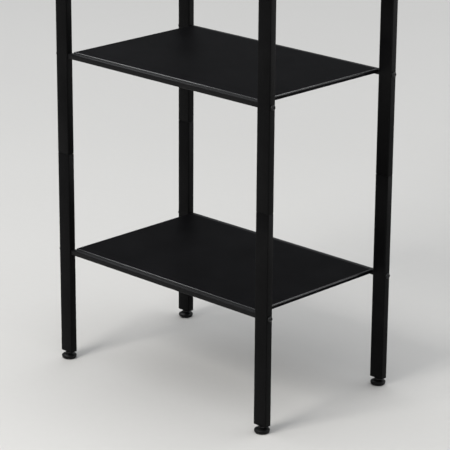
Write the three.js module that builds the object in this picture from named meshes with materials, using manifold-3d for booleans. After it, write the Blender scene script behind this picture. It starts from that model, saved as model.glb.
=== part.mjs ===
// Free-standing storage rack: four rectangular steel posts, sheet-steel shelves hung between
// front and back rails, bolts through the posts into the rails, and screw-in levelling feet.
// Millimetres, +Z up, front at -Y. The origin is on the floor, under the middle of the rack.
import * as THREE from 'three';
import { mergeVertices } from 'three/addons/utils/BufferGeometryUtils.js';
import Module from 'manifold-3d';

const wasm = await Module();
wasm.setup();

// ---- Driving dimensions ------------------------------------------------------------------

const RACK_WIDTH = 550; // over the outer side faces of the posts
const RACK_DEPTH = 340; // over the front and back faces of the posts

const POST_WIDTH = 30; // across the front
const POST_DEPTH = 15;
const POST_WALL = 1.2;
const POST_CORNER = 2.2; // outer corner radius
const POST_LENGTHS = [405, 497, 497]; // lower, middle and upper section of each post
const POST_FOOT_PLUG = 8; // height of the tapped plug welded in the lower end

const SHELF_COUNT = 4;
const LOWEST_SHELF = 215; // tray top above the lower end of the posts
const SHELF_PITCH = 390;

const RAIL_SIZE = 10; // square tube
const RAIL_WALL = 1.2;
const RAIL_CORNER = 1.5;
const RAIL_SETBACK = 2.5; // rail face behind the post face
const RAIL_DROP = 1.5; // rail top below the tray top
const RAIL_PLUG = 16; // length of the tapped plug welded in each rail end

const TRAY_SHEET = 1; // sheet thickness
const TRAY_FLANGE = 7.6; // height of the turned-down edge
const TRAY_BEND = 2.5; // outer bend radius
const TRAY_SIDE_GAP = 3; // tray side to post

const SPLICE_REACH = 35; // how far the splice enters each section
const SPLICE_WALL = 2.2;
const SPLICE_RIB = 0.8; // thickness of the stop rib between two sections
const SPLICE_RIB_INSET = 0.5; // rib edge behind the post face

const CAP_PLATE = 2.5;
const CAP_PLUG = 12;
const CAP_WALL = 2;

const BOLT_DIAMETER = 6;
const BOLT_LENGTH = 45;
const BOLT_HEAD_DIAMETER = 10.5;
const BOLT_HEAD_HEIGHT = 3.3;
const BOLT_SOCKET = 4; // across the flats
const BOLT_SOCKET_DEPTH = 1.8;

const FOOT_HEIGHT = 15; // floor to the lower end of the posts
const PAD_DIAMETER = 29;
const PAD_HEIGHT = 10;
const PAD_RIM_LOW = 5; // height at which the pad is first at its full diameter
const PAD_RIM_HIGH = 6.4; // and above which its top slopes in
const PAD_UNDERCUT = 3.5; // floor contact inside the full radius
const PAD_SOCKET_DEPTH = 6;
const STEM_DIAMETER = 8;
const STEM_LENGTH = 34; // tip of the stem to its top end
const HUB_FLATS = 13; // hexagon across the flats
const HUB_HEIGHT = 2.7;

const GAP = 0.3; // between pieces that touch
const BOLT_CLEARANCE = 0.3; // on the radius
const STEM_CLEARANCE = 0.3; // on the radius

const CORNER_STEPS = 2;
const ROUND_STEPS = 12;
const PAD_STEPS = 20;
const BEND_STEPS = 3;

// ---- Sizes that follow -------------------------------------------------------------------

const POST_X = (RACK_WIDTH - POST_WIDTH) / 2;
const POST_Y = (RACK_DEPTH - POST_DEPTH) / 2;
const SEAM = SPLICE_RIB + 2 * GAP;
const RAIL_Y = RACK_DEPTH / 2 - RAIL_SETBACK - RAIL_SIZE / 2;
const RAIL_LENGTH = RACK_WIDTH - 2 * POST_WIDTH - 2 * GAP;
const RAIL_CENTRE = -RAIL_DROP - RAIL_SIZE / 2; // below the tray top
const TRAY_WIDTH = RACK_WIDTH - 2 * POST_WIDTH - 2 * TRAY_SIDE_GAP;
const TRAY_DEPTH = 2 * (RAIL_Y - RAIL_SIZE / 2 - GAP);
const BOLT_HOLE = BOLT_DIAMETER / 2 + BOLT_CLEARANCE;
const STEM_HOLE = STEM_DIAMETER / 2 + STEM_CLEARANCE;
const PLUG_WIDTH = POST_WIDTH - 2 * POST_WALL - 2 * GAP;
const PLUG_DEPTH = POST_DEPTH - 2 * POST_WALL - 2 * GAP;
const PLUG_CORNER = Math.max(POST_CORNER - POST_WALL, 0.3);
const CUT = 1; // how far a cutting tool runs past the face it cuts

const shelfTops = Array.from(
  { length: SHELF_COUNT },
  (_, i) => LOWEST_SHELF + i * SHELF_PITCH,
);

const CORNERS = [
  { name: 'front_left', x: -1, y: -1 },
  { name: 'front_right', x: 1, y: -1 },
  { name: 'back_right', x: 1, y: 1 },
  { name: 'back_left', x: -1, y: 1 },
];

// ---- Materials ---------------------------------------------------------------------------

const powderCoat = new THREE.MeshStandardMaterial({ color: 0x17181a, roughness: 0.5, metalness: 0.1 });
const trayCoat = new THREE.MeshStandardMaterial({ color: 0x1b1b1e, roughness: 0.68, metalness: 0.1 });
const blackPlastic = new THREE.MeshStandardMaterial({ color: 0x121213, roughness: 0.6, metalness: 0 });
const blackBolt = new THREE.MeshStandardMaterial({ color: 0x101012, roughness: 0.38, metalness: 0.8 });
const darkSteel = new THREE.MeshStandardMaterial({ color: 0x2a2a2c, roughness: 0.4, metalness: 0.9 });

// ---- Solid helpers -----------------------------------------------------------------------

function toSolid(geometry) {
  const bare = geometry.index ? geometry.toNonIndexed() : geometry.clone();
  bare.deleteAttribute('normal');
  bare.deleteAttribute('uv');
  const merged = mergeVertices(bare, 1e-4);
  const mesh = new wasm.Mesh({
    numProp: 3,
    vertProperties: new Float32Array(merged.attributes.position.array),
    triVerts: new Uint32Array(merged.index.array),
  });
  return new wasm.Manifold(mesh);
}

function toMesh(name, solid, material) {
  const { vertProperties, triVerts } = solid.getMesh();
  const geometry = new THREE.BufferGeometry();
  geometry.setAttribute('position', new THREE.BufferAttribute(vertProperties, 3));
  geometry.setIndex(new THREE.BufferAttribute(triVerts, 1));
  geometry.computeVertexNormals();
  const mesh = new THREE.Mesh(geometry, material);
  mesh.name = name;
  return mesh;
}

function roundedOutline(target, width, depth, radius) {
  const x = width / 2 - radius;
  const y = depth / 2 - radius;
  target.absarc(x, y, radius, 0, Math.PI / 2, false);
  target.absarc(-x, y, radius, Math.PI / 2, Math.PI, false);
  target.absarc(-x, -y, radius, Math.PI, 1.5 * Math.PI, false);
  target.absarc(x, -y, radius, 1.5 * Math.PI, 2 * Math.PI, false);
  target.closePath();
  return target;
}

// A rounded rectangular bar standing on z = 0.
function bar(width, depth, height, radius) {
  const shape = roundedOutline(new THREE.Shape(), width, depth, radius);
  const settings = { depth: height, bevelEnabled: false, curveSegments: CORNER_STEPS };
  return toSolid(new THREE.ExtrudeGeometry(shape, settings));
}

// The same bar, hollow and open at both ends.
function tube(width, depth, height, radius, wall) {
  const inner = Math.max(radius - wall, 0.3);
  const bore = bar(width - 2 * wall, depth - 2 * wall, height + 2 * CUT, inner);
  return bar(width, depth, height, radius).subtract(bore.translate(0, 0, -CUT));
}

// A round rod on the Z axis from `low` to `high`; six sides make a hexagon.
function rod(radius, low, high, sides = ROUND_STEPS) {
  const cylinder = new THREE.CylinderGeometry(radius, radius, high - low, sides);
  cylinder.rotateX(Math.PI / 2);
  cylinder.translate(0, 0, (low + high) / 2);
  return toSolid(cylinder);
}

// A solid turned about the Z axis from [radius, height] points that start and end on the axis.
function turned(points, steps) {
  const profile = points.map(([r, z]) => new THREE.Vector2(r, z));
  const lathe = new THREE.LatheGeometry(profile, steps);
  lathe.rotateX(Math.PI / 2);
  return toSolid(lathe);
}

// A block whose top edges are rounded, its top at z = 0 and its lower face at z = -height.
function roundTopBlock(width, depth, height, radius) {
  const x = width / 2 - radius;
  const y = depth / 2 - radius;
  const shape = new THREE.Shape();
  shape.moveTo(-x, -y);
  shape.lineTo(x, -y);
  shape.lineTo(x, y);
  shape.lineTo(-x, y);
  shape.closePath();
  const settings = {
    depth: height,
    bevelEnabled: true,
    bevelSize: radius,
    bevelThickness: radius,
    bevelSegments: BEND_STEPS,
  };
  const block = toSolid(new THREE.ExtrudeGeometry(shape, settings)).translate(0, 0, -height - radius);
  const below = toSolid(new THREE.BoxGeometry(width + CUT, depth + CUT, 2 * radius + CUT));
  return block.subtract(below.translate(0, 0, -height - radius - CUT / 2));
}

// ---- Posts, splices and caps -------------------------------------------------------------

function boltHole(side, z) {
  const hole = rod(BOLT_HOLE, -POST_WIDTH / 2 - CUT, POST_WIDTH / 2 + CUT);
  return hole.rotate([0, 90, 0]).translate(0, side * (RAIL_Y - POST_Y), z);
}

// One section of a post: `start` is its lower end above the lower end of the whole post.
function postSection(corner, start, length, isLowest) {
  let section = tube(POST_WIDTH, POST_DEPTH, length, POST_CORNER, POST_WALL);
  if (isLowest) {
    const plug = bar(POST_WIDTH - POST_WALL, POST_DEPTH - POST_WALL, POST_FOOT_PLUG, PLUG_CORNER);
    section = section.add(plug).subtract(rod(STEM_HOLE, -CUT, POST_FOOT_PLUG + CUT));
  }
  for (const top of shelfTops) {
    const z = top + RAIL_CENTRE - start;
    if (z > 0 && z < length) section = section.subtract(boltHole(corner.y, z));
  }
  return section;
}

function splice() {
  const height = 2 * SPLICE_REACH + SEAM;
  const sleeve = bar(PLUG_WIDTH, PLUG_DEPTH, height, PLUG_CORNER);
  const ribWidth = POST_WIDTH - 2 * SPLICE_RIB_INSET;
  const ribDepth = POST_DEPTH - 2 * SPLICE_RIB_INSET;
  const rib = bar(ribWidth, ribDepth, SPLICE_RIB, POST_CORNER - SPLICE_RIB_INSET);
  const bore = bar(
    PLUG_WIDTH - 2 * SPLICE_WALL,
    PLUG_DEPTH - 2 * SPLICE_WALL,
    height + 2 * CUT,
    PLUG_CORNER,
  );
  return sleeve
    .add(rib.translate(0, 0, (height - SPLICE_RIB) / 2))
    .subtract(bore.translate(0, 0, -CUT))
    .translate(0, 0, -height / 2);
}

// Stands on the top end of a post at z = 0, with its plug reaching down inside.
function topCap() {
  const plate = bar(POST_WIDTH, POST_DEPTH, CAP_PLATE, POST_CORNER);
  const plug = bar(PLUG_WIDTH, PLUG_DEPTH, CAP_PLUG + CAP_PLATE / 2, PLUG_CORNER);
  const hollow = bar(
    PLUG_WIDTH - 2 * CAP_WALL,
    PLUG_DEPTH - 2 * CAP_WALL,
    CAP_PLUG + CUT,
    PLUG_CORNER,
  );
  return plate
    .translate(0, 0, GAP)
    .add(plug.translate(0, 0, -CAP_PLUG + GAP))
    .subtract(hollow.translate(0, 0, -CAP_PLUG - CUT));
}

function makePost(corner) {
  const post = new THREE.Group();
  const names = ['lower', 'middle', 'upper'];
  let start = 0;
  POST_LENGTHS.forEach((span, i) => {
    const low = start + (i > 0 ? SEAM / 2 : 0);
    const isLast = i === POST_LENGTHS.length - 1;
    const high = start + span - (isLast ? 0 : SEAM / 2);
    const section = postSection(corner, low, high - low, i === 0);
    const mesh = toMesh(`post_${names[i]}_${corner.name}`, section, powderCoat);
    mesh.position.z = low;
    post.add(mesh);
    start += span;
    if (!isLast) {
      const joint = toMesh(`splice_${names[i]}_${corner.name}`, splice(), blackPlastic);
      joint.position.z = start;
      post.add(joint);
    }
  });
  const cap = toMesh(`top_cap_${corner.name}`, topCap(), blackPlastic);
  cap.position.z = start;
  post.add(cap);
  post.position.set(corner.x * POST_X, corner.y * POST_Y, FOOT_HEIGHT);
  return post;
}

// ---- Levelling feet ----------------------------------------------------------------------

function footPad() {
  const r = PAD_DIAMETER / 2;
  const bowl = [];
  for (let i = 0; i <= 4; i += 1) {
    const angle = (i / 4) * (Math.PI / 2);
    const out = PAD_UNDERCUT * Math.sin(angle);
    bowl.push([r - PAD_UNDERCUT + out, PAD_RIM_LOW * (1 - Math.cos(angle))]);
  }
  const shoulder = HUB_FLATS / 2 + 0.5;
  const socketFloor = PAD_HEIGHT - PAD_SOCKET_DEPTH;
  const outline = [
    [0, 0],
    ...bowl,
    [r, PAD_RIM_HIGH],
    [r - 0.15 * (r - shoulder), PAD_RIM_HIGH + 0.4 * (PAD_HEIGHT - PAD_RIM_HIGH)],
    [shoulder, PAD_HEIGHT],
    [STEM_HOLE, PAD_HEIGHT],
    [STEM_HOLE, socketFloor],
    [0, socketFloor],
  ];
  return turned(outline, PAD_STEPS);
}

function footStem() {
  const tip = PAD_HEIGHT - PAD_SOCKET_DEPTH + GAP;
  const hubBase = PAD_HEIGHT + GAP;
  const hubRadius = HUB_FLATS / 2 / Math.cos(Math.PI / 6);
  const shank = rod(STEM_DIAMETER / 2, tip, tip + STEM_LENGTH);
  return shank.add(rod(hubRadius, hubBase, hubBase + HUB_HEIGHT, 6));
}

function makeFoot(corner) {
  const foot = new THREE.Group();
  foot.add(toMesh(`foot_pad_${corner.name}`, footPad(), blackPlastic));
  foot.add(toMesh(`foot_stem_${corner.name}`, footStem(), darkSteel));
  foot.position.set(corner.x * POST_X, corner.y * POST_Y, 0);
  return foot;
}

// ---- Shelves -----------------------------------------------------------------------------

// Lies along X, centred on the origin, with a tapped plug in each end.
function rail() {
  const plugSize = RAIL_SIZE - RAIL_WALL;
  const plug = bar(plugSize, plugSize, RAIL_PLUG, RAIL_CORNER / 2);
  return tube(RAIL_SIZE, RAIL_SIZE, RAIL_LENGTH, RAIL_CORNER, RAIL_WALL)
    .add(plug)
    .add(plug.translate(0, 0, RAIL_LENGTH - RAIL_PLUG))
    .subtract(rod(BOLT_HOLE, -CUT, RAIL_LENGTH + CUT))
    .translate(0, 0, -RAIL_LENGTH / 2)
    .rotate([0, 90, 0]);
}

// A folded sheet with its top at z = 0 and four edges turned down.
function tray() {
  const outer = roundTopBlock(TRAY_WIDTH, TRAY_DEPTH, TRAY_FLANGE, TRAY_BEND);
  const inner = roundTopBlock(
    TRAY_WIDTH - 2 * TRAY_SHEET,
    TRAY_DEPTH - 2 * TRAY_SHEET,
    TRAY_FLANGE + CUT,
    TRAY_BEND - TRAY_SHEET,
  );
  return outer.subtract(inner.translate(0, 0, -TRAY_SHEET));
}

// Button-head bolt: its head stands out along +X from x = 0 and its shank runs along -X.
function bolt() {
  const r = BOLT_HEAD_DIAMETER / 2;
  const socketRadius = BOLT_SOCKET / 2 / Math.cos(Math.PI / 6);
  const head = turned(
    [
      [0, GAP],
      [r, GAP],
      [r, GAP + 0.25 * BOLT_HEAD_HEIGHT],
      [0.86 * r, GAP + 0.68 * BOLT_HEAD_HEIGHT],
      [0.56 * r, GAP + BOLT_HEAD_HEIGHT],
      [0, GAP + BOLT_HEAD_HEIGHT],
    ],
    ROUND_STEPS,
  );
  const shank = rod(BOLT_DIAMETER / 2, GAP - BOLT_LENGTH, GAP + BOLT_HEAD_HEIGHT / 4);
  const top = GAP + BOLT_HEAD_HEIGHT;
  const socket = rod(socketRadius, top - BOLT_SOCKET_DEPTH, top + CUT, 6);
  return head.add(shank).subtract(socket).rotate([0, 90, 0]);
}

function makeShelf(index, top) {
  const shelf = new THREE.Group();
  const number = index + 1;
  for (const [name, side] of [['front', -1], ['back', 1]]) {
    const mesh = toMesh(`shelf_${number}_rail_${name}`, rail(), powderCoat);
    mesh.position.set(0, side * RAIL_Y, RAIL_CENTRE);
    shelf.add(mesh);
  }
  shelf.add(toMesh(`shelf_${number}_tray`, tray(), trayCoat));
  for (const corner of CORNERS) {
    const mesh = toMesh(`shelf_${number}_bolt_${corner.name}`, bolt(), blackBolt);
    if (corner.x < 0) mesh.rotation.z = Math.PI;
    mesh.position.set((corner.x * RACK_WIDTH) / 2, corner.y * RAIL_Y, RAIL_CENTRE);
    shelf.add(mesh);
  }
  shelf.position.z = FOOT_HEIGHT + top;
  return shelf;
}

// ---- Assembly ----------------------------------------------------------------------------

const rack = new THREE.Group();
rack.name = 'storage_rack';
for (const corner of CORNERS) {
  rack.add(makePost(corner));
  rack.add(makeFoot(corner));
}
shelfTops.forEach((top, index) => rack.add(makeShelf(index, top)));

export default rack;
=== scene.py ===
import math

import bmesh
import bpy
from mathutils import Matrix, Vector


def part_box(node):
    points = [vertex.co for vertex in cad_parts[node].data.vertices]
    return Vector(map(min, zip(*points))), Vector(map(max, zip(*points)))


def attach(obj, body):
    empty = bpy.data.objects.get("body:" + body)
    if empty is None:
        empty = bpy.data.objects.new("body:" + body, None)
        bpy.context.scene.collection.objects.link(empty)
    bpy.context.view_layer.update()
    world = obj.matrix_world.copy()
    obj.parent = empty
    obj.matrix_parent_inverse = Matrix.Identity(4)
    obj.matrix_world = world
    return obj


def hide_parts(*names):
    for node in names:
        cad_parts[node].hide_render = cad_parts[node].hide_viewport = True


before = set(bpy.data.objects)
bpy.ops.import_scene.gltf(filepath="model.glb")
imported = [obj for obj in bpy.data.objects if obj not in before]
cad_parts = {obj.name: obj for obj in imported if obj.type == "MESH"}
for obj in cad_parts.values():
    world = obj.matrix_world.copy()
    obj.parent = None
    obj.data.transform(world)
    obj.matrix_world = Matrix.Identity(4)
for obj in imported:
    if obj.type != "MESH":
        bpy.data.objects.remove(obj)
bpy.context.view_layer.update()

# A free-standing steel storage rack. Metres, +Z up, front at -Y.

CORNERS = ("front_left", "front_right", "back_right", "back_left")
SECTIONS = ("lower", "middle", "upper")
SHELVES = (1, 2, 3, 4)
RACK = "rack"

# ---- Sizes of the details, in metres -----------------------------------------------------

POST_CORNER = 0.0022
POST_WALL = 0.0012
POST_END_ROUND = 0.00035
PLATE_RECESS = 0.0007  # end plate above the lower end of its tube
PLATE_THICK = 0.007
PLATE_GAP = 0.00003
STEM_HOLE_RADIUS = 0.0043
STEM_HOLE_ROUND = 0.0004

RAIL_CORNER = 0.0015
RAIL_END_ROUND = 0.0006
RAIL_BORE_RADIUS = 0.0033
RAIL_BORE_DEPTH = 0.016
RAIL_BORE_ROUND = 0.0003

TRAY_SHEET = 0.001
TRAY_BEND = 0.0025
TRAY_PLAN_CORNER = 0.0028
TRAY_LIP_ROUND = 0.0003
LEAST_CORNER = 0.00005
TRAY_LOOPS = (0.002, 0.010)  # loops of the flat part, in from the bend

CAP_EDGE = 0.0009
CAP_FLAT = 0.0012  # last loop of the plate, in from its rounded edge
CAP_UNDERCUT = 0.0003
CAP_UNDERCUT_HEIGHT = 0.00015
CAP_PLATE = 0.0025
CAP_PLUG_INSET = 0.0015
CAP_PLUG_LEAD = 0.0012  # height of the taper that guides the plug in
CAP_PLUG_TAPER = 0.001
CAP_PLUG_CORNER = 0.0003

BOLT_HEAD_RADIUS = 0.00525
BOLT_HEAD_HEIGHT = 0.0033
BOLT_HEAD_ROUND = 0.0002
BOLT_BAND = 0.0006  # height of the straight band under the dome
BOLT_DOME_POWER = 0.8
BOLT_SHANK_RADIUS = 0.003
BOLT_LENGTH = 0.045
BOLT_POINT = 0.0009
BOLT_POINT_SHARE = 0.72
BOLT_SOCKET_FLATS = 0.004
BOLT_SOCKET_DEPTH = 0.0018
BOLT_SOCKET_EDGE = 0.0004
BOLT_FIRST_SEED = 11

PAD_RADIUS = 0.0145
PAD_UNDERCUT = 0.0035
PAD_RIM_LOW = 0.005
PAD_RIM_HIGH = 0.0064
PAD_SHOULDER = 0.007
PAD_SOCKET_DEPTH = 0.006
PAD_SOCKET_ROUND = 0.0003
# The pad's top, outer part: in from its radius, and above its rim.
PAD_EDGE_CURVE = ((0.0, -0.0004), (0.00025, 0.0003), (0.0010, 0.0011))
# The pad's top, inner part: out from its shoulder, and below its top.
PAD_CROWN_CURVE = ((0.0045, 0.0015), (0.0022, 0.0006), (0.0006, 0.00015), (0.0, 0.0))

STEM_RADIUS = 0.004
STEM_PITCH = 0.00125
STEM_RIDGE = 0.00055
STEM_END_GAP = 0.0003  # room for the last ridge at each end
HUB_FLATS = 0.013
HUB_LOW = 0.0003  # hub above the pad
HUB_HEIGHT = 0.0027
HUB_CHAMFER = math.radians(30)
HUB_CHAMFER_IN = 0.0002
HUB_EASE = 0.00004
HUB_NECK = 0.0008

WELD_WIDTH = 0.0021
WELD_STEP = 0.0011
WELD_FLATNESS = 0.72
WELD_UNEVENNESS = 0.3
WELD_SEED = 5
STITCHES = 5
STITCH_LENGTH = 0.022
STITCH_DROP = 0.0001  # weld path below the edge of the tray
PLATE_WELD_INSET = 0.0002
PLATE_WELD_CORNER = 0.0012
PLATE_WELD_HEIGHT = 0.0008

FLOOR_RADIUS = 45.0

# An edge that turns by more than this stays sharp.
SHARP = math.radians(32)
WELD_SHARP = math.radians(80)
PAD_SHARP = math.radians(40)
STEM_SHARP = math.radians(24)


# ---- Patterns and colours of the finishes; scales are in cycles for each metre -----------

SPECKLE_SCALE = 5200.0
DUST_SCALE = 2600.0
SHEEN_SCALE = 38.0
CLOUD_SCALE = 9.0
MOULD_GRAIN_SCALE = 2300.0
MOULD_FLOW_SCALE = 45.0
SCUFF_SCALE = 900.0
OXIDE_SCALE = 420.0
TOOLING_SCALE = 3100.0
FLOOR_CLOUD_SCALE = 1.1
FLOOR_FINE_SCALE = 60.0

DUST = (0.16, 0.158, 0.15)
# Lighter colour along the tray's bends: paint rubbed thin, and a painted highlight.
BEND_WEAR_AND_HIGHLIGHT = (0.050, 0.050, 0.053)
SCUFFED_PLASTIC = (0.055, 0.055, 0.056)
FLOOR_DARK = (0.605, 0.595, 0.575)
FLOOR_LIGHT = (0.67, 0.66, 0.64)
SKY = (0.92, 0.95, 1.0, 1.0)
SKY_STRENGTH = 0.22


# ---- Shader building ---------------------------------------------------------------------

class Wire:
    """A value in a material's node tree. Arithmetic on it adds the Math nodes."""

    def __init__(self, finish, socket):
        self.finish = finish
        self.socket = socket

    def _math(self, operation, first, second):
        return self.finish.node("ShaderNodeMath", {"operation": operation}, {0: first, 1: second})

    def __add__(self, other):
        return self._math("ADD", self, other)

    def __radd__(self, other):
        return self._math("ADD", other, self)

    def __sub__(self, other):
        return self._math("SUBTRACT", self, other)

    def __rsub__(self, other):
        return self._math("SUBTRACT", other, self)

    def __mul__(self, other):
        return self._math("MULTIPLY", self, other)

    def __rmul__(self, other):
        return self._math("MULTIPLY", other, self)


class Finish:
    """A material and the one way in which its nodes are added."""

    def __init__(self, name):
        self.material = bpy.data.materials.new(name)
        self.material.use_nodes = True
        self.tree = self.material.node_tree
        self.tree.nodes.clear()
        self.output = self.tree.nodes.new("ShaderNodeOutputMaterial")

    def node(self, kind, settings=None, inputs=None, out=0):
        made = self.tree.nodes.new(kind)
        for key, value in (settings or {}).items():
            if key == "stops":
                ramp = made.color_ramp
                while len(ramp.elements) < len(value):
                    ramp.elements.new(1.0)
                for element, (place, grey) in zip(ramp.elements, value):
                    element.position = place
                    element.color = (grey, grey, grey, 1.0)
            else:
                setattr(made, key, value)
        for key, value in (inputs or {}).items():
            if isinstance(value, Wire):
                self.tree.links.new(value.socket, made.inputs[key])
            else:
                made.inputs[key].default_value = value
        return Wire(self, made.outputs[out])

    def place(self):
        return self.node("ShaderNodeTexCoord", out="Object")

    def noise(self, place, scale, detail=2.0, roughness=0.5):
        return self.node(
            "ShaderNodeTexNoise",
            {"noise_dimensions": "3D"},
            {"Vector": place, "Scale": scale, "Detail": detail, "Roughness": roughness},
        )

    def ramp(self, value, stops):
        return self.node("ShaderNodeValToRGB", {"stops": stops}, {0: value})

    def blend(self, factor, first, second):
        return self.node(
            "ShaderNodeMix",
            {"data_type": "RGBA", "clamp_factor": True},
            {0: factor, 6: colour(first), 7: colour(second)},
            out=2,
        )

    def bump(self, height, strength, distance, under=None):
        inputs = {"Height": height, "Strength": strength, "Distance": distance}
        if under is not None:
            inputs["Normal"] = under
        return self.node("ShaderNodeBump", inputs=inputs)

    def surface(self, **inputs):
        named = {key.replace("_", " "): value for key, value in inputs.items()}
        shader = self.node("ShaderNodeBsdfPrincipled", inputs=named)
        self.tree.links.new(shader.socket, self.output.inputs["Surface"])
        return self.material


def colour(value):
    return (*value, 1.0) if isinstance(value, tuple) and len(value) == 3 else value


def powder_coat(name, deep, lit, roughness, peel_scale, peel, grain, specular, bends=None):
    """Baked powder paint: a soft orange peel, a fine speckle, and cloudy changes of sheen.

    bends names a mesh attribute that is 1 over a bend, where the paint is rubbed thin and where its
    colour is lightened as a painted highlight.
    """
    finish = Finish(name)
    place = finish.place()
    skin = finish.noise(place, peel_scale, 2.0, 0.45)
    speckle = finish.noise(place, SPECKLE_SCALE, 1.0, 0.6)
    cloud = finish.noise(place, CLOUD_SCALE, 3.0, 0.55)
    tone = finish.ramp(speckle * 0.6 + cloud * 0.4, [(0.38, 0.0), (0.64, 1.0)])
    dust = finish.ramp(finish.noise(place, DUST_SCALE, 0.0), [(0.735, 0.0), (0.79, 1.0)])
    paint = finish.blend(tone, deep, lit)
    shade = finish.blend(dust * 0.16, paint, DUST)
    sheen = finish.noise(place, SHEEN_SCALE, 2.0, 0.5)
    rough = (cloud - 0.5) * 0.10 + (sheen - 0.5) * 0.05 + (speckle - 0.5) * grain + roughness
    fine = finish.bump(speckle, 0.3 + grain, 0.00005)
    normal = finish.bump(skin, peel, 0.0003, fine)
    coat = 0.0
    if bends:
        bend = finish.node("ShaderNodeAttribute", {"attribute_name": bends}, out="Fac")
        rub_and_highlight = bend * (0.75 + 0.5 * (sheen - 0.5))
        # Over the bends the colour is lightened: partly paint rubbed thin, partly a painted
        # highlight.
        shade = finish.blend(rub_and_highlight * 0.5, shade, BEND_WEAR_AND_HIGHLIGHT)
        rough = rough - rub_and_highlight * 0.12
        coat = rub_and_highlight
    return finish.surface(
        Base_Color=shade,
        Roughness=rough,
        Normal=normal,
        Specular_IOR_Level=specular,
        Metallic=0.0,
        Coat_Weight=coat,
        Coat_Roughness=0.22,
    )


def moulded_plastic(name, deep, lit, roughness, specular):
    """Injection-moulded plastic with a spark-eroded grain."""
    finish = Finish(name)
    place = finish.place()
    grain = finish.node(
        "ShaderNodeTexVoronoi",
        {"feature": "SMOOTH_F1"},
        {"Vector": place, "Scale": MOULD_GRAIN_SCALE},
        out="Distance",
    )
    flow = finish.noise(place, MOULD_FLOW_SCALE, 3.0, 0.6)
    scuff = finish.ramp(finish.noise(place, SCUFF_SCALE, 4.0, 0.7), [(0.60, 0.0), (0.78, 1.0)])
    base = finish.blend(flow, deep, lit)
    shade = finish.blend(scuff * 0.25, base, SCUFFED_PLASTIC)
    rough = (flow - 0.5) * 0.14 + scuff * 0.08 + roughness
    normal = finish.bump(grain, 0.22, 0.00006)
    return finish.surface(
        Base_Color=shade, Roughness=rough, Normal=normal, Specular_IOR_Level=specular, Metallic=0.0
    )


def dark_steel(name, deep, lit, roughness, metallic):
    """Blackened steel: patchy oxide with brighter metal where it is rubbed."""
    finish = Finish(name)
    place = finish.place()
    oxide = finish.noise(place, OXIDE_SCALE, 4.0, 0.6)
    tooling = finish.noise(place, TOOLING_SCALE, 2.0, 0.5)
    base = finish.blend(finish.ramp(oxide, [(0.35, 0.0), (0.68, 1.0)]), deep, lit)
    rough = (oxide - 0.5) * 0.22 + (tooling - 0.5) * 0.08 + roughness
    normal = finish.bump(tooling, 0.12, 0.00001)
    return finish.surface(Base_Color=base, Roughness=rough, Normal=normal, Metallic=metallic)


def pale_floor(name):
    """A matt, faintly mottled studio floor."""
    finish = Finish(name)
    place = finish.place()
    cloud = finish.noise(place, FLOOR_CLOUD_SCALE, 3.0, 0.5)
    fine = finish.noise(place, FLOOR_FINE_SCALE, 4.0, 0.6)
    shade = finish.blend(cloud * 0.7 + fine * 0.3, FLOOR_DARK, FLOOR_LIGHT)
    return finish.surface(Base_Color=shade, Roughness=0.75, Specular_IOR_Level=0.2)


TUBE_PAINT = powder_coat(
    "tube_powder_coat",
    deep=(0.0012, 0.0012, 0.0014),
    lit=(0.0064, 0.0063, 0.0066),
    roughness=0.44,
    peel_scale=620.0,
    peel=0.30,
    grain=0.14,
    specular=0.045,
)
TRAY_PAINT = powder_coat(
    "tray_powder_coat",
    deep=(0.0012, 0.0012, 0.0015),
    lit=(0.0066, 0.0065, 0.0073),
    roughness=0.48,
    peel_scale=1150.0,
    peel=0.55,
    grain=0.26,
    specular=0.012,
    bends="bend",
)
# The rails' paint is the tubes' paint made a little lighter: painted light, for the light that the
# rail tops catch.
RAIL_PAINT = powder_coat(
    "rail_powder_coat",
    deep=(0.0016, 0.0016, 0.0019),
    lit=(0.0068, 0.0067, 0.0071),
    roughness=0.42,
    peel_scale=620.0,
    peel=0.30,
    grain=0.14,
    specular=0.105,
)
WELD_PAINT = powder_coat(
    "weld_powder_coat",
    deep=(0.0030, 0.0030, 0.0033),
    lit=(0.0085, 0.0084, 0.0087),
    roughness=0.50,
    peel_scale=900.0,
    peel=0.25,
    grain=0.12,
    specular=0.16,
)
PLASTIC = moulded_plastic(
    "cap_plastic",
    deep=(0.0030, 0.0030, 0.0032),
    lit=(0.0062, 0.0062, 0.0064),
    roughness=0.50,
    specular=0.18,
)
SPLICE_PLASTIC = moulded_plastic(
    "splice_plastic",
    deep=(0.0012, 0.0012, 0.0013),
    lit=(0.0028, 0.0028, 0.0029),
    roughness=0.6,
    specular=0.1,
)
PAD_PLASTIC = moulded_plastic(
    "pad_plastic",
    deep=(0.0022, 0.0022, 0.0024),
    lit=(0.0050, 0.0049, 0.0049),
    roughness=0.40,
    specular=0.13,
)
BOLT_STEEL = dark_steel(
    "bolt_black_oxide",
    deep=(0.0030, 0.0030, 0.0034),
    lit=(0.0090, 0.0090, 0.0096),
    roughness=0.46,
    metallic=0.40,
)
STEM_STEEL = dark_steel(
    "stem_dark_plating",
    deep=(0.020, 0.020, 0.022),
    lit=(0.060, 0.059, 0.058),
    roughness=0.34,
    metallic=0.9,
)


# ---- Mesh building -----------------------------------------------------------------------

def rounded_ring(width, depth, radius, z, steps=6):
    """Points round a rounded rectangle, anticlockwise, at height z."""
    points = []
    for quarter, (sx, sy) in enumerate(((1, 1), (-1, 1), (-1, -1), (1, -1))):
        cx, cy = sx * (width / 2 - radius), sy * (depth / 2 - radius)
        for step in range(steps + 1):
            angle = math.pi / 2 * (quarter + step / steps)
            x, y = cx + radius * math.cos(angle), cy + radius * math.sin(angle)
            points.append(Vector((x, y, z)))
    return points


def round_ring(radius, z, count):
    turns = [2 * math.pi * i / count for i in range(count)]
    return [Vector((radius * math.cos(a), radius * math.sin(a), z)) for a in turns]


def round_ring_like(ring, radius, z):
    """A circle whose points lie at the same bearings as another ring's."""
    shares = [(p, radius / math.hypot(p.x, p.y)) for p in ring]
    return [Vector((p.x * share, p.y * share, z)) for p, share in shares]


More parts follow.
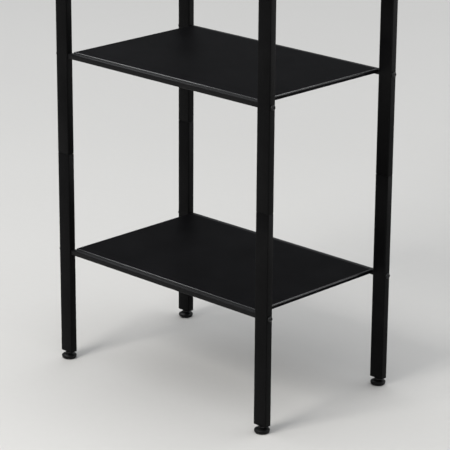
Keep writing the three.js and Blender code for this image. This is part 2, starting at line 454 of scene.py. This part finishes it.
def hexagon_ring(flats, z, count):
    """A hexagon sampled at even bearings; count is a multiple of six."""
    points = []
    for i in range(count):
        angle = 2 * math.pi * i / count
        offset = (angle % (math.pi / 3)) - math.pi / 6
        radius = flats / 2 / math.cos(offset)
        points.append(Vector((radius * math.cos(angle), radius * math.sin(angle), z)))
    return points


def loft(bm, rings, closed=False, caps=True):
    """Skins a list of rings of equal length; closed joins the last ring back to the first."""
    made = [[bm.verts.new(point) for point in ring] for ring in rings]
    pairs = list(zip(made, made[1:] + ([made[0]] if closed else [])))
    for low, high in pairs:
        for i in range(len(low)):
            j = (i + 1) % len(low)
            bm.faces.new((low[i], low[j], high[j], high[i]))
    if caps and not closed:
        bm.faces.new(list(reversed(made[0])))
        bm.faces.new(made[-1])
    return made


def smooth_over(bm, sharp):
    """Smooth shading, broken at the edges that turn by more than the given angle."""
    for face in bm.faces:
        face.smooth = True
    for edge in bm.edges:
        edge.smooth = not edge.is_manifold or edge.calc_face_angle(0.0) < sharp


def to_mesh(name, bm):
    mesh = bpy.data.meshes.new(name)
    bm.to_mesh(mesh)
    bm.free()
    return mesh


def put_in_scene(name, data):
    holder = bpy.data.objects.new(name, data)
    bpy.context.scene.collection.objects.link(holder)
    return holder


def finish_mesh(name, bm, place, material, sharp=SHARP):
    """Turns a bmesh into a piece whose place is in its mesh."""
    bmesh.ops.recalc_face_normals(bm, faces=bm.faces)
    bm.transform(place)
    smooth_over(bm, sharp)
    mesh = to_mesh(name, bm)
    mesh.materials.append(material)
    return put_in_scene(name, mesh)


def fit_on(piece, body, slot, *nodes):
    """Says what a piece moves with and which nodes it stands for. The slot, what it is made of, is
    not used.
    """
    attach(piece, body)
    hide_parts(*nodes)
    return piece


def middle(low, high):
    return (low + high) / 2


# ---- Posts -------------------------------------------------------------------------------

def post_tube(bm, size):
    """An open tube from z = 0 upwards, with softened ends."""
    width, depth, height = size
    soft = POST_END_ROUND
    part = soft * 0.3

    def ring(inset, z):
        return rounded_ring(width - 2 * inset, depth - 2 * inset, POST_CORNER - inset, z)

    rings = [ring(POST_WALL, 0), ring(POST_WALL - soft, 0)]
    rings += [ring(soft, 0), ring(part, part), ring(0, soft)]
    rings += [ring(0, height * share) for share in (0.25, 0.5, 0.75)]
    rings += [ring(0, height - soft), ring(part, height - part), ring(soft, height)]
    rings += [ring(POST_WALL - soft, height), ring(POST_WALL, height)]
    loft(bm, rings, closed=True)


def end_plate(bm, size):
    """The tapped plate welded inside the lower end, a little above the tube's edge."""
    width, depth, _ = size
    inset = POST_WALL + PLATE_GAP
    outline = rounded_ring(width - 2 * inset, depth - 2 * inset, POST_CORNER - POST_WALL, 0)
    low, high = PLATE_RECESS, PLATE_RECESS + PLATE_THICK

    def lifted(ring, z):
        return [Vector((p.x, p.y, z)) for p in ring]

    rings = [
        lifted(outline, low),
        lifted(outline, high),
        round_ring_like(outline, STEM_HOLE_RADIUS, high),
        round_ring_like(outline, STEM_HOLE_RADIUS, low + STEM_HOLE_ROUND),
        round_ring_like(outline, STEM_HOLE_RADIUS + STEM_HOLE_ROUND, low),
    ]
    loft(bm, rings, closed=True)


for corner in CORNERS:
    for section in SECTIONS:
        node = f"post_{section}_{corner}"
        low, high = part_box(node)
        size = high - low
        bm = bmesh.new()
        post_tube(bm, size)
        if section == "lower":
            end_plate(bm, size)
        centre = middle(low, high)
        place = Matrix.Translation((centre.x, centre.y, low.z))
        tube = finish_mesh(f"tube_{section}_{corner}", bm, place, TUBE_PAINT)
        fit_on(tube, RACK, "powder_coat", node)

for corner in CORNERS:
    for section in SECTIONS[:-1]:
        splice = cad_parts[f"splice_{section}_{corner}"]
        splice.material_slots[0].material = SPLICE_PLASTIC


def top_cap(bm, size):
    """A flat plastic cap with a softened top edge, over a plug that enters the tube."""
    width, depth, height = size
    plate_low = height - CAP_PLATE
    plug_width, plug_depth = width - 2 * CAP_PLUG_INSET, depth - 2 * CAP_PLUG_INSET
    plug_corner = POST_CORNER - POST_WALL
    tip_width, tip_depth = plug_width - CAP_PLUG_TAPER, plug_depth - CAP_PLUG_TAPER
    under_width, under_depth = width - CAP_UNDERCUT, depth - CAP_UNDERCUT
    rings = [
        rounded_ring(tip_width, tip_depth, plug_corner - CAP_PLUG_CORNER, 0),
        rounded_ring(plug_width, plug_depth, plug_corner, CAP_PLUG_LEAD),
        rounded_ring(plug_width, plug_depth, plug_corner, plate_low),
        rounded_ring(under_width, under_depth, POST_CORNER, plate_low),
        rounded_ring(width, depth, POST_CORNER, plate_low + CAP_UNDERCUT_HEIGHT),
    ]
    steps = 5
    for step in range(steps + 1):
        angle = math.pi / 2 * step / steps
        inset = CAP_EDGE * (1 - math.cos(angle))
        z = height - CAP_EDGE * (1 - math.sin(angle))
        rings.append(rounded_ring(width - 2 * inset, depth - 2 * inset, POST_CORNER - inset, z))
    inset = CAP_EDGE + CAP_FLAT
    flat_corner = POST_CORNER - CAP_EDGE
    rings.append(rounded_ring(width - 2 * inset, depth - 2 * inset, flat_corner, height))
    loft(bm, rings)


for corner in CORNERS:
    node = f"top_cap_{corner}"
    low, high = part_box(node)
    bm = bmesh.new()
    top_cap(bm, high - low)
    centre = middle(low, high)
    place = Matrix.Translation((centre.x, centre.y, low.z))
    cap = finish_mesh(f"cap_{corner}", bm, place, PLASTIC)
    fit_on(cap, RACK, "black_plastic", node)


# ---- Shelves -----------------------------------------------------------------------------

def shelf_rail(bm, size):
    """Square tube along X with rounded edges and a bored plug in each end."""
    length, width, height = size
    outline = rounded_ring(width, height, RAIL_CORNER, 0)
    steps = 4

    def ring(inset, x):
        corner_radius = RAIL_CORNER - inset * 0.6
        return rounded_ring(width - 2 * inset, height - 2 * inset, corner_radius, x)

    def end(sign):
        x = sign * length / 2
        rings = [
            round_ring_like(outline, RAIL_BORE_RADIUS, x - sign * RAIL_BORE_DEPTH),
            round_ring_like(outline, RAIL_BORE_RADIUS, x - sign * RAIL_BORE_ROUND),
            round_ring_like(outline, RAIL_BORE_RADIUS + RAIL_BORE_ROUND, x),
        ]
        for step in range(steps + 1):
            angle = math.pi / 2 * step / steps
            inset = RAIL_END_ROUND * (1 - math.sin(angle))
            rings.append(ring(inset, x - sign * RAIL_END_ROUND * (1 - math.cos(angle))))
        return rings

    rings = end(-1)
    rings += [ring(0, length * share) for share in (-0.25, 0.0, 0.25)]
    rings += list(reversed(end(1)))
    loft(bm, rings)


def shelf_tray(bm, size):
    """A sheet pan with four edges folded down, its corners welded and ground round."""
    width, depth, height = size
    bends = 7

    def ring(offset, z):
        corner_radius = max(TRAY_PLAN_CORNER - offset, LEAST_CORNER)
        return rounded_ring(width - 2 * offset, depth - 2 * offset, corner_radius, z)

    def skin(offset, top, bend):
        rings = [ring(offset, -height + TRAY_LIP_ROUND)]
        for step in range(bends + 1):
            angle = math.pi / 2 * step / bends
            across, down = bend * (1 - math.cos(angle)), bend * (1 - math.sin(angle))
            rings.append(ring(offset + across, top - down))
        return rings + [ring(offset + bend + loop, top) for loop in TRAY_LOOPS]

    outside = skin(0.0, 0.0, TRAY_BEND)
    inside = skin(TRAY_SHEET, -TRAY_SHEET, TRAY_BEND - TRAY_SHEET)
    lip = [ring(TRAY_LIP_ROUND, -height), ring(TRAY_SHEET - TRAY_LIP_ROUND, -height)]
    # Weights over the bends, for the tray's rubbed paint and its painted highlight.
    rub_and_highlight_layer = bm.verts.layers.float.new("bend")
    rows = loft(bm, list(reversed(outside)) + lip + inside)
    top_of_bend = len(outside) - 2
    for step in range(1, bends):
        for vert in rows[top_of_bend - step]:
            vert[rub_and_highlight_layer] = math.sin(math.pi * step / bends)


TURN_TO_X = Matrix(((0, 0, 1, 0), (1, 0, 0, 0), (0, 1, 0, 0), (0, 0, 0, 1)))

for shelf in SHELVES:
    for side in ("front", "back"):
        node = f"shelf_{shelf}_rail_{side}"
        low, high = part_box(node)
        bm = bmesh.new()
        shelf_rail(bm, high - low)
        place = Matrix.Translation(middle(low, high)) @ TURN_TO_X
        rail = finish_mesh(f"rail_{shelf}_{side}", bm, place, RAIL_PAINT)
        fit_on(rail, RACK, "powder_coat", node)
    node = f"shelf_{shelf}_tray"
    low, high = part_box(node)
    bm = bmesh.new()
    shelf_tray(bm, high - low)
    centre = middle(low, high)
    place = Matrix.Translation((centre.x, centre.y, high.z))
    tray = finish_mesh(f"tray_{shelf}", bm, place, TRAY_PAINT)
    fit_on(tray, RACK, "tray_coat", node)


# ---- Geometry node trees -----------------------------------------------------------------

class Graph:
    """A geometry node tree with named inputs."""

    def __init__(self, name, inputs):
        self.tree = bpy.data.node_groups.new(name, "GeometryNodeTree")
        face = self.tree.interface
        face.new_socket("Geometry", in_out="OUTPUT", socket_type="NodeSocketGeometry")
        face.new_socket("Geometry", in_out="INPUT", socket_type="NodeSocketGeometry")
        for label, kind in inputs.items():
            face.new_socket(label, in_out="INPUT", socket_type=kind)
        self.entry = self.tree.nodes.new("NodeGroupInput")
        self.exit = self.tree.nodes.new("NodeGroupOutput")

    def given(self, label):
        return self.entry.outputs[label]

    def node(self, kind, settings=None, inputs=None, out=0):
        made = self.tree.nodes.new(kind)
        for key, value in (settings or {}).items():
            setattr(made, key, value)
        for key, value in (inputs or {}).items():
            if isinstance(value, bpy.types.NodeSocket):
                self.tree.links.new(value, made.inputs[key])
            else:
                made.inputs[key].default_value = value
        return made.outputs[out]

    def close(self, geometry, material):
        solid = self.node("GeometryNodeRealizeInstances", inputs={0: geometry})
        painted = self.node(
            "GeometryNodeSetMaterial", inputs={"Geometry": solid, "Material": material}
        )
        self.tree.links.new(painted, self.exit.inputs[0])


def grow(name, graph, source, values, sharp=SHARP):
    """Runs a tree on a source mesh and returns the result as a plain piece."""
    carrier = put_in_scene(name + "_source", source)
    modifier = carrier.modifiers.new("grow", "NODES")
    modifier.node_group = graph.tree
    for item in graph.tree.interface.items_tree:
        if item.in_out == "INPUT" and item.name in values:
            modifier[item.identifier] = values[item.name]
    bpy.context.view_layer.update()
    depsgraph = bpy.context.evaluated_depsgraph_get()
    evaluated = carrier.evaluated_get(depsgraph)
    mesh = bpy.data.meshes.new_from_object(evaluated, depsgraph=depsgraph)
    bpy.data.objects.remove(carrier)
    bm = bmesh.new()
    bm.from_mesh(mesh)
    smooth_over(bm, sharp)
    bm.to_mesh(mesh)
    bm.free()
    mesh.name = name
    return put_in_scene(name, mesh)


# ---- Bolts -------------------------------------------------------------------------------

def button_bolt():
    """Button-head socket bolt along Z: its head rises from z = 0 and its shank goes down."""
    count = 36
    domes = 7
    bm = bmesh.new()
    top, dome_height = BOLT_HEAD_HEIGHT, BOLT_HEAD_HEIGHT - BOLT_BAND
    rings = [
        round_ring(BOLT_SHANK_RADIUS * BOLT_POINT_SHARE, -BOLT_LENGTH, count),
        round_ring(BOLT_SHANK_RADIUS, -BOLT_LENGTH + BOLT_POINT, count),
        round_ring(BOLT_SHANK_RADIUS, -BOLT_HEAD_ROUND / 2, count),
        round_ring(BOLT_HEAD_RADIUS - BOLT_HEAD_ROUND, 0, count),
        round_ring(BOLT_HEAD_RADIUS, BOLT_HEAD_ROUND, count),
        round_ring(BOLT_HEAD_RADIUS, BOLT_BAND, count),
    ]
    lip = BOLT_SOCKET_FLATS / 2 / math.cos(math.pi / 6) + BOLT_SOCKET_EDGE
    for step in range(1, domes + 1):
        angle = math.pi / 2 * step / domes
        radius = lip + (BOLT_HEAD_RADIUS - lip) * math.cos(angle) ** BOLT_DOME_POWER
        rings.append(round_ring(radius, BOLT_BAND + dome_height * math.sin(angle), count))
    floor_of_socket = top - BOLT_SOCKET_DEPTH
    rings += [
        round_ring(lip - BOLT_SOCKET_EDGE / 2, top - BOLT_SOCKET_EDGE / 4, count),
        hexagon_ring(BOLT_SOCKET_FLATS, top - BOLT_SOCKET_EDGE, count),
        hexagon_ring(BOLT_SOCKET_FLATS, floor_of_socket, count),
        round_ring(BOLT_SOCKET_EDGE, floor_of_socket - BOLT_SOCKET_EDGE, count),
    ]
    loft(bm, rings)
    bmesh.ops.recalc_face_normals(bm, faces=bm.faces)
    return put_in_scene("bolt_master", to_mesh("bolt_master", bm))


def bolt_graph():
    """Puts a bolt on every point, along the point's aim, each turned to a different angle."""
    graph = Graph(
        "bolts_on_points",
        {"Bolt": "NodeSocketObject", "Turn": "NodeSocketFloat", "Seed": "NodeSocketInt"},
    )
    bolt = graph.node(
        "GeometryNodeObjectInfo",
        {"transform_space": "ORIGINAL"},
        {"Object": graph.given("Bolt"), "As Instance": True},
        out="Geometry",
    )
    aim = graph.node(
        "GeometryNodeInputNamedAttribute", {"data_type": "FLOAT_VECTOR"}, {"Name": "aim"}
    )
    placed = graph.node(
        "GeometryNodeInstanceOnPoints",
        inputs={"Points": graph.given("Geometry"), "Instance": bolt, "Rotation": aim},
    )
    amount = graph.node(
        "FunctionNodeRandomValue",
        {"data_type": "FLOAT"},
        {2: 0.0, 3: graph.given("Turn"), "Seed": graph.given("Seed")},
        out=1,
    )
    about_axis = graph.node("ShaderNodeCombineXYZ", inputs={"Z": amount})
    turned = graph.node(
        "GeometryNodeRotateInstances",
        inputs={"Instances": placed, "Rotation": about_axis, "Local Space": True},
    )
    graph.close(turned, BOLT_STEEL)
    return graph


def points_mesh(name, places, aims):
    """Loose points, each with the direction that its instance is turned to."""
    mesh = bpy.data.meshes.new(name)
    mesh.from_pydata([tuple(place) for place in places], [], [])
    layer = mesh.attributes.new("aim", "FLOAT_VECTOR", "POINT")
    for item, aim in zip(layer.data, aims):
        item.vector = aim
    return mesh


bolt_master = button_bolt()
bolts_on_points = bolt_graph()
for shelf in SHELVES:
    places, aims, nodes = [], [], []
    for corner in CORNERS:
        node = f"shelf_{shelf}_bolt_{corner}"
        low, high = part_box(node)
        centre = middle(low, high)
        out = 1 if centre.x > 0 else -1
        face = (high.x if out > 0 else low.x) - out * BOLT_HEAD_HEIGHT
        places.append((face, centre.y, centre.z))
        aims.append((0, out * math.pi / 2, 0))
        nodes.append(node)
    source = points_mesh(f"bolt_points_{shelf}", places, aims)
    values = {"Bolt": bolt_master, "Turn": math.pi / 3, "Seed": BOLT_FIRST_SEED + shelf}
    bolts = grow(f"bolts_{shelf}", bolts_on_points, source, values)
    fit_on(bolts, RACK, "black_bolt", *nodes)
bpy.data.objects.remove(bolt_master)


# ---- Welds -------------------------------------------------------------------------------

def weld_graph():
    """A weld run: overlapping flattened drops along each path, of slightly uneven size."""
    graph = Graph(
        "weld_run",
        {
            "Width": "NodeSocketFloat",
            "Step": "NodeSocketFloat",
            "Unevenness": "NodeSocketFloat",
            "Seed": "NodeSocketInt",
        },
    )
    path = graph.node("GeometryNodeMeshToCurve", inputs={"Mesh": graph.given("Geometry")})
    stepped = graph.node(
        "GeometryNodeResampleCurve",
        {"mode": "LENGTH"},
        {"Curve": path, "Length": graph.given("Step")},
    )
    radius = graph.node(
        "ShaderNodeMath", {"operation": "MULTIPLY"}, {0: graph.given("Width"), 1: 0.5}
    )
    drop = graph.node(
        "GeometryNodeMeshUVSphere", inputs={"Segments": 8, "Rings": 5, "Radius": radius}
    )
    least = graph.node(
        "ShaderNodeMath", {"operation": "SUBTRACT"}, {0: 1.0, 1: graph.given("Unevenness")}
    )
    size = graph.node(
        "FunctionNodeRandomValue",
        {"data_type": "FLOAT"},
        {2: least, 3: 1.0, "Seed": graph.given("Seed")},
        out=1,
    )
    shape = graph.node(
        "ShaderNodeVectorMath",
        {"operation": "SCALE"},
        {0: (1.0, 1.0, WELD_FLATNESS), "Scale": size},
    )
    run = graph.node(
        "GeometryNodeInstanceOnPoints",
        inputs={"Points": stepped, "Instance": drop, "Scale": shape},
    )
    graph.close(run, WELD_PAINT)
    return graph


def weld_paths():
    """Stitches under the seams of tray and rail, and a run round each post's end plate."""
    points, edges = [], []

    def run(places, closed=False):
        start = len(points)
        points.extend(tuple(place) for place in places)
        edges.extend((start + i, start + i + 1) for i in range(len(places) - 1))
        if closed:
            edges.append((start + len(places) - 1, start))

    for shelf in SHELVES:
        low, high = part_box(f"shelf_{shelf}_tray")
        for y in (low.y, high.y):
            for i in range(STITCHES):
                x = low.x + (high.x - low.x) * (i + 0.5) / STITCHES
                z = low.z - STITCH_DROP
                run([(x - STITCH_LENGTH / 2, y, z), (x + STITCH_LENGTH / 2, y, z)])
    for corner in CORNERS:
        low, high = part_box(f"post_lower_{corner}")
        centre = middle(low, high)
        inset = POST_WALL + PLATE_WELD_INSET
        width, depth = high.x - low.x - 2 * inset, high.y - low.y - 2 * inset
        ring = rounded_ring(width, depth, PLATE_WELD_CORNER, low.z + PLATE_WELD_HEIGHT)
        run([(centre.x + p.x, centre.y + p.y, p.z) for p in ring], closed=True)
    mesh = bpy.data.meshes.new("weld_paths")
    mesh.from_pydata(points, edges, [])
    return mesh


weld_values = {
    "Width": WELD_WIDTH,
    "Step": WELD_STEP,
    "Unevenness": WELD_UNEVENNESS,
    "Seed": WELD_SEED,
}
welds = grow("welds", weld_graph(), weld_paths(), weld_values, WELD_SHARP)
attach(welds, RACK)


# ---- Feet --------------------------------------------------------------------------------

def foot_pad(bm, height):
    """A bell-shaped pad: a bowl up to the rim, a sloping top, and a socket for the stem."""
    count = 64
    bowl_steps = 8
    rings = []
    for step in range(bowl_steps + 1):
        angle = math.pi / 2 * step / bowl_steps
        radius = PAD_RADIUS - PAD_UNDERCUT * (1 - math.sin(angle))
        rings.append(round_ring(radius, PAD_RIM_LOW * (1 - math.cos(angle)), count))
    top = [(PAD_RADIUS - inward, PAD_RIM_HIGH + up) for inward, up in PAD_EDGE_CURVE]
    top += [(PAD_SHOULDER + outward, height - down) for outward, down in PAD_CROWN_CURVE]
    top += [
        (STEM_HOLE_RADIUS + PAD_SOCKET_ROUND, height),
        (STEM_HOLE_RADIUS, height - PAD_SOCKET_ROUND),
        (STEM_HOLE_RADIUS, height - PAD_SOCKET_DEPTH),
    ]
    rings += [round_ring(radius, z, count) for radius, z in top]
    loft(bm, rings)


def thread_graph():
    """A threaded stem: a core rod with a ridge wound round it."""
    graph = Graph(
        "threaded_stem",
        {
            "Pitch": "NodeSocketFloat",
            "Outer radius": "NodeSocketFloat",
            "Ridge": "NodeSocketFloat",
            "Length": "NodeSocketFloat",
        },
    )
    turns = graph.node(
        "ShaderNodeMath",
        {"operation": "DIVIDE"},
        {0: graph.given("Length"), 1: graph.given("Pitch")},
    )
    core = graph.node(
        "ShaderNodeMath",
        {"operation": "SUBTRACT"},
        {0: graph.given("Outer radius"), 1: graph.given("Ridge")},
    )
    spiral = graph.node(
        "GeometryNodeCurveSpiral",
        inputs={
            "Resolution": 24,
            "Rotations": turns,
            "Start Radius": core,
            "End Radius": core,
            "Height": graph.given("Length"),
        },
    )
    upright = graph.node("GeometryNodeSetCurveNormal", {"mode": "Z_UP"}, {"Curve": spiral})
    section = graph.node(
        "GeometryNodeCurvePrimitiveCircle", inputs={"Resolution": 4, "Radius": graph.given("Ridge")}
    )
    ridge = graph.node(
        "GeometryNodeCurveToMesh",
        inputs={"Curve": upright, "Profile Curve": section, "Fill Caps": True},
    )
    half = graph.node(
        "ShaderNodeMath", {"operation": "MULTIPLY"}, {0: graph.given("Length"), 1: 0.5}
    )
    rise = graph.node("ShaderNodeCombineXYZ", inputs={"Z": half})
    rod = graph.node(
        "GeometryNodeMeshCylinder",
        inputs={"Vertices": 32, "Radius": core, "Depth": graph.given("Length")},
    )
    raised = graph.node("GeometryNodeTransform", inputs={"Geometry": rod, "Translation": rise})
    joined = graph.tree.nodes.new("GeometryNodeJoinGeometry")
    for part in (ridge, raised, graph.given("Geometry")):
        graph.tree.links.new(part, joined.inputs[0])
    graph.close(joined.outputs[0], STEM_STEEL)
    return graph


def hub_mesh(height_above_tip):
    """The hexagon that turns the stem, its corners chamfered on a cone as a nut's are."""
    count = 36
    bm = bmesh.new()
    inside = HUB_FLATS / 2 - HUB_CHAMFER_IN
    neck = STEM_RADIUS + HUB_NECK
    low, high = height_above_tip, height_above_tip + HUB_HEIGHT
    slope = math.tan(HUB_CHAMFER)

    def turned(z, direction):
        flat = hexagon_ring(HUB_FLATS - HUB_EASE, z, count)
        rises = [direction * slope * (math.hypot(p.x, p.y) - inside) for p in flat]
        return [Vector((p.x, p.y, z + rise)) for p, rise in zip(flat, rises)]

    rings = [round_ring(neck, low, count), round_ring(inside, low, count)]
    rings += [turned(low, 1), turned(high, -1)]
    rings += [round_ring(inside, high, count), round_ring(neck, high, count)]
    loft(bm, rings)
    bmesh.ops.recalc_face_normals(bm, faces=bm.faces)
    return to_mesh("hub", bm)


stem_graph = thread_graph()
for corner in CORNERS:
    low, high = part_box(f"foot_pad_{corner}")
    centre = middle(low, high)
    bm = bmesh.new()
    foot_pad(bm, high.z - low.z)
    place = Matrix.Translation((centre.x, centre.y, low.z))
    pad = finish_mesh(f"pad_{corner}", bm, place, PAD_PLASTIC, PAD_SHARP)
    fit_on(pad, f"foot_pad_{corner}", "foot_plastic", f"foot_pad_{corner}")

    tip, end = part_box(f"foot_stem_{corner}")
    source = hub_mesh(high.z + HUB_LOW - tip.z)
    values = {
        "Pitch": STEM_PITCH,
        "Outer radius": STEM_RADIUS,
        "Ridge": STEM_RIDGE,
        "Length": end.z - tip.z - 2 * STEM_END_GAP,
    }
    stem = grow(f"stem_{corner}", stem_graph, source, values, STEM_SHARP)
    stem.data.transform(Matrix.Translation((centre.x, centre.y, tip.z + STEM_END_GAP)))
    fit_on(stem, f"foot_stem_{corner}", "foot_steel", f"foot_stem_{corner}")


# ---- Floor, light and camera -------------------------------------------------------------

floor_mesh = bpy.data.meshes.new("floor")
floor_edge = [tuple(point) for point in round_ring(FLOOR_RADIUS, 0.0, 96)]
floor_mesh.from_pydata(floor_edge, [], [tuple(range(len(floor_edge)))])
floor_mesh.materials.append(pale_floor("studio_floor"))
floor = put_in_scene("floor", floor_mesh)

world = bpy.data.worlds.new("studio")
world.use_nodes = True
sky = world.node_tree.nodes["Background"]
sky.inputs["Color"].default_value = SKY
sky.inputs["Strength"].default_value = SKY_STRENGTH
bpy.context.scene.world = world


def softbox(name, place, target, size, radiance, tint=(1.0, 1.0, 1.0), sheen_only=False):
    """An area light of the given brightness, whatever its size.

    A card that is sheen_only shows in reflections and lights nothing else.
    """
    width, height = size
    lamp = bpy.data.lights.new(name, "AREA")
    lamp.shape = "RECTANGLE"
    lamp.size, lamp.size_y = width, height
    lamp.energy = radiance * math.pi * width * height
    lamp.color = tint
    holder = put_in_scene(name, lamp)
    holder.location = place
    aim = Vector(target) - Vector(place)
    holder.rotation_euler = aim.to_track_quat("-Z", "Y").to_euler()
    holder.visible_diffuse = not sheen_only


softbox(
    "ceiling",
    place=(-0.4, 0.4, 6.5),
    target=(-0.4, 0.4, 0.0),
    size=(19.0, 19.0),
    radiance=1.0,
    tint=(0.97, 0.985, 1.0),
)
softbox(
    "front_key",
    place=(-0.15, -3.1, 2.8),
    target=(0, 0, 0.3),
    size=(1.4, 1.4),
    radiance=14.0,
    tint=(1.0, 0.985, 0.96),
)
softbox("left_card", (-2.0, 0.1, 2.7), (0, 0, 0.6), (1.2, 1.0), 8.5, sheen_only=True)
softbox("back_card", (0.5, 2.0, 2.9), (0, 0, 0.6), (2.0, 0.7), 5.4, sheen_only=True)
softbox("side_card", (2.2, 2.3, 0.6), (0, 0, 0.5), (2.0, 1.1), 5.0, sheen_only=True)

AZIMUTH = math.radians(43.8898)
ELEVATION = math.radians(18.3386)
ROLL = math.radians(0.3947)
CAMERA_PLACE = (2.79236, -2.89558, 1.63105)
LENS, SENSOR = 178.229, 36.0  # millimetres

back = Vector(
    (
        math.sin(AZIMUTH) * math.cos(ELEVATION),
        -math.cos(AZIMUTH) * math.cos(ELEVATION),
        math.sin(ELEVATION),
    )
)
across = Vector((math.cos(AZIMUTH), math.sin(AZIMUTH), 0.0))
upward = back.cross(across)
right = across * math.cos(ROLL) + upward * math.sin(ROLL)
up = upward * math.cos(ROLL) - across * math.sin(ROLL)
facing = Matrix((right, up, back)).transposed().to_4x4()
view = bpy.data.cameras.new("view")
view.sensor_width = SENSOR
view.lens = LENS
camera = put_in_scene("view", view)
camera.matrix_world = Matrix.Translation(CAMERA_PLACE) @ facing
bpy.context.scene.camera = camera
bpy.context.scene.view_settings.view_transform = "Standard"
